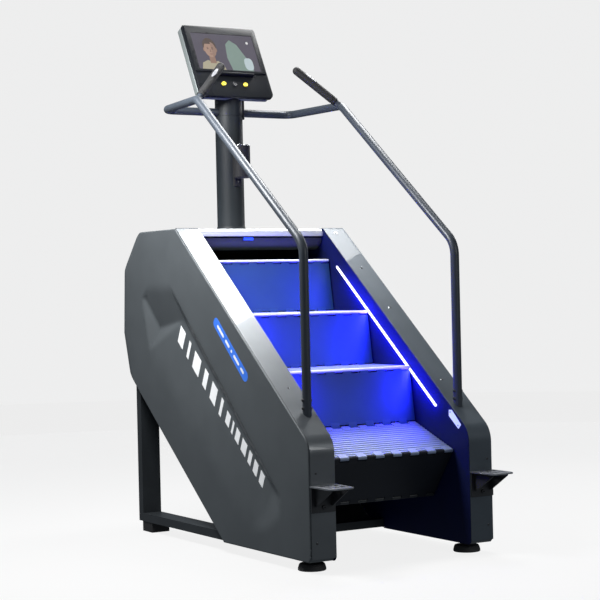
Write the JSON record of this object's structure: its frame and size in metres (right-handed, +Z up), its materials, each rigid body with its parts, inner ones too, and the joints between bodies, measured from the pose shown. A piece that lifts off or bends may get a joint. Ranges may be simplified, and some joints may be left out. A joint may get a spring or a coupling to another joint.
{
  "type": "stair climber",
  "caption": "Gym stair climber: hinged treads and risers revolving between side housings, handrails meeting a console post, grips with buttons, and fixed step-up plates.",
  "frame": {"origin": "bottom centre of the whole machine's box, on the floor", "axes": "+Z up, -Y towards the user who steps on (the front, with the lowest tread), +X to the right as seen from the front"},
  "size_m": [0.772, 1.583, 2.0511],
  "materials": {
    "tread": "dark ribbed, satin",
    "riser": "dark satin",
    "steel": "satin",
    "motor": "satin",
    "rubber": "matte",
    "frame": "textured powder coat",
    "panel": "satin",
    "cover": "fine texture",
    "strip": "silver satin",
    "lamp": "lit diffuser",
    "post": "dark metallic gloss",
    "grip": "soft matte",
    "console": "gloss",
    "screen": "gloss, lit",
    "button_grey": "satin",
    "button_yellow": "satin",
    "plate": "textured"
  },
  "bodies": {
    "frame": {"base_frame": "frame", "left_step_chain": "steel", "right_step_chain": "steel", "lower_bearing_left": "steel", "lower_bearing_right": "steel", "upper_bearing_left": "steel", "upper_bearing_right": "steel", "motor": "motor", "drive_belt": "rubber", "left_rear_pad": "rubber", "right_rear_pad": "rubber", "left_front_foot": "rubber", "right_front_foot": "rubber", "left_inner_panel": "panel", "right_inner_panel": "panel", "left_outer_cover": "cover", "right_outer_cover": "cover", "left_front_strip": "strip", "right_front_strip": "strip", "left_lamp_strip": "lamp", "right_lamp_strip": "lamp", "top_cover": "strip", "top_shroud": "panel", "rear_cover": "cover", "console_post": "post", "bottle_holder": "frame", "left_handrail": "post", "right_handrail": "post", "left_grip": "grip", "right_grip": "grip", "console_housing": "console", "console_screen": "screen", "left_step_plate": "plate", "right_step_plate": "plate"},
    "flight": {"tread_2": "tread", "tread_3": "tread", "tread_4": "tread", "riser_2": "riser", "riser_3": "riser", "riser_4": "riser"},
    "lowest_tread": {"tread_1": "tread"},
    "front_riser": {"riser_1": "riser"},
    "top_turn": {"riser_5": "riser"},
    "rear_tread": {"tread_5": "tread"},
    "return_flight": {"tread_6": "tread", "tread_7": "tread", "riser_6": "riser", "riser_7": "riser", "riser_8": "riser"},
    "low_tread": {"tread_8": "tread"},
    "lower_shaft": {"lower_shaft": "steel"},
    "upper_shaft": {"upper_shaft": "steel"},
    "motor_rotor": {"motor_pulley": "steel"},
    "console_button_left": {"console_button_left": "button_yellow"},
    "console_button_middle": {"console_button_middle": "button_grey"},
    "console_button_right": {"console_button_right": "button_yellow"},
    "left_grip_button_lower": {"left_grip_button_lower": "button_grey"},
    "left_grip_button_upper": {"left_grip_button_upper": "button_grey"},
    "right_grip_button_lower": {"right_grip_button_lower": "button_grey"},
    "right_grip_button_upper": {"right_grip_button_upper": "button_grey"}
  },
  "joints": [
    {"name": "flight_slide", "type": "slide", "parent": "frame", "child": "flight", "axis": [0, -0.8008, -0.5989], "range_m": [-0.015, 0.015]},
    {"name": "lowest_tread_hinge", "type": "hinge", "parent": "flight", "child": "lowest_tread", "pos_m": [0, -0.3345, 0.453], "axis": [1, 0, 0], "range_deg": [-3.54, 3.54]},
    {"name": "front_riser_hinge", "type": "hinge", "parent": "lowest_tread", "child": "front_riser", "pos_m": [0, -0.5645, 0.367], "axis": [1, 0, 0], "range_deg": [-2.63, 2.63]},
    {"name": "top_turn_hinge", "type": "hinge", "parent": "frame", "child": "top_turn", "pos_m": [0, 0.54628, 1.01177], "axis": [1, 0, 0], "range_deg": [-10.88, 10.88]},
    {"name": "rear_tread_hinge", "type": "hinge", "parent": "top_turn", "child": "rear_tread", "pos_m": [0, 0.6929, 1.0071], "axis": [1, 0, 0], "range_deg": [-5.97, 5.97]},
    {"name": "return_slide", "type": "slide", "parent": "frame", "child": "return_flight", "axis": [0, 0.7954, 0.606], "range_m": [-0.0165, 0.0165]},
    {"name": "low_tread_hinge", "type": "hinge", "parent": "return_flight", "child": "low_tread", "pos_m": [0, -0.1972, 0.1795], "axis": [1, 0, 0], "range_deg": [-4.7, 4.7]},
    {"name": "lower_shaft_turn", "type": "hinge", "parent": "frame", "child": "lower_shaft", "pos_m": [0, -0.35873, 0.28503], "axis": [1, 0, 0], "range_deg": [-19.29, 19.29]},
    {"name": "upper_shaft_turn", "type": "hinge", "parent": "frame", "child": "upper_shaft", "pos_m": [0, 0.54628, 1.01177], "axis": [1, 0, 0], "range_deg": [-29.56, 29.56]},
    {"name": "motor_turn", "type": "hinge", "parent": "frame", "child": "motor_rotor", "pos_m": [0, 0.0785, 0.625], "axis": [1, 0, 0], "range_deg": [-37.6, 37.6]},
    {"name": "console_button_left_press", "type": "slide", "parent": "frame", "child": "console_button_left", "axis": [0, 0.887, -0.4618], "range_m": [0, 0.002], "stiffness_N_per_m": 400},
    {"name": "console_button_middle_press", "type": "slide", "parent": "frame", "child": "console_button_middle", "axis": [0, 0.887, -0.4618], "range_m": [0, 0.002], "stiffness_N_per_m": 400},
    {"name": "console_button_right_press", "type": "slide", "parent": "frame", "child": "console_button_right", "axis": [0, 0.887, -0.4618], "range_m": [0, 0.002], "stiffness_N_per_m": 400},
    {"name": "left_grip_button_lower_press", "type": "slide", "parent": "frame", "child": "left_grip_button_lower", "axis": [0.1983, 0.7391, -0.6437], "range_m": [0, 0.0015], "stiffness_N_per_m": 500},
    {"name": "left_grip_button_upper_press", "type": "slide", "parent": "frame", "child": "left_grip_button_upper", "axis": [0.1983, 0.7391, -0.6437], "range_m": [0, 0.0015], "stiffness_N_per_m": 500},
    {"name": "right_grip_button_lower_press", "type": "slide", "parent": "frame", "child": "right_grip_button_lower", "axis": [-0.1983, 0.7391, -0.6437], "range_m": [0, 0.0015], "stiffness_N_per_m": 500},
    {"name": "right_grip_button_upper_press", "type": "slide", "parent": "frame", "child": "right_grip_button_upper", "axis": [-0.1983, 0.7391, -0.6437], "range_m": [0, 0.0015], "stiffness_N_per_m": 500}
  ],
  "couplings": [
    {"joint": "lowest_tread_hinge", "follows": "flight_slide", "rad_per_m": 3.943},
    {"joint": "front_riser_hinge", "follows": "flight_slide", "rad_per_m": 2.913},
    {"joint": "top_turn_hinge", "follows": "flight_slide", "rad_per_m": 12.236},
    {"joint": "rear_tread_hinge", "follows": "flight_slide", "rad_per_m": -6.69},
    {"joint": "return_slide", "follows": "flight_slide", "ratio": 1.064},
    {"joint": "low_tread_hinge", "follows": "flight_slide", "rad_per_m": 5.249},
    {"joint": "lower_shaft_turn", "follows": "flight_slide", "rad_per_m": 21.739},
    {"joint": "upper_shaft_turn", "follows": "flight_slide", "rad_per_m": 33.333},
    {"joint": "motor_turn", "follows": "flight_slide", "rad_per_m": 42.424}
  ]
}
